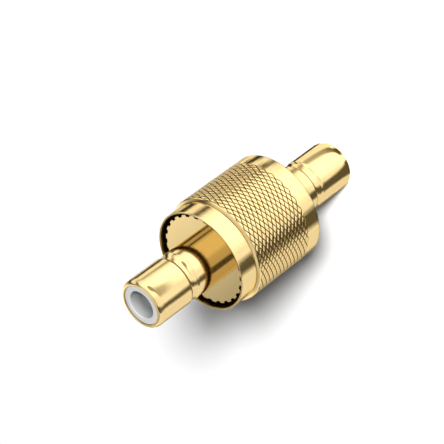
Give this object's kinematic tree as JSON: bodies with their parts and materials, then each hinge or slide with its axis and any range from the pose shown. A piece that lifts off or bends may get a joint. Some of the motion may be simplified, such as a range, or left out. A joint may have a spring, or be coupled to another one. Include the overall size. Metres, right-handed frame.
{
  "type": "coaxial_adapter",
  "caption": "Straight gold-plated coaxial adapter with a push-on jack at each end, a knurled grip, white insulators and a double-ended centre pin",
  "frame": {"origin": "centre of the rear nose's end face, where the adapter stands; the lowest point of its box", "axes": "+Z runs along the common axis of all pieces, from the rear nose to the front nose; +X and +Y are square to it and interchangeable, because the part is round"},
  "size_m": [0.0082, 0.0082, 0.0204],
  "materials": {
    "gold_plate": "polished gold plate",
    "white_insulator": "white fluoropolymer, faint turning marks",
    "contact_gold": "gold-plated contact"
  },
  "bodies": {
    "root": {"knurled_body": "gold_plate", "front_barrel": "gold_plate", "front_insulator": "white_insulator", "rear_insulator": "white_insulator", "centre_contact": "contact_gold"}
  },
  "joints": []
}
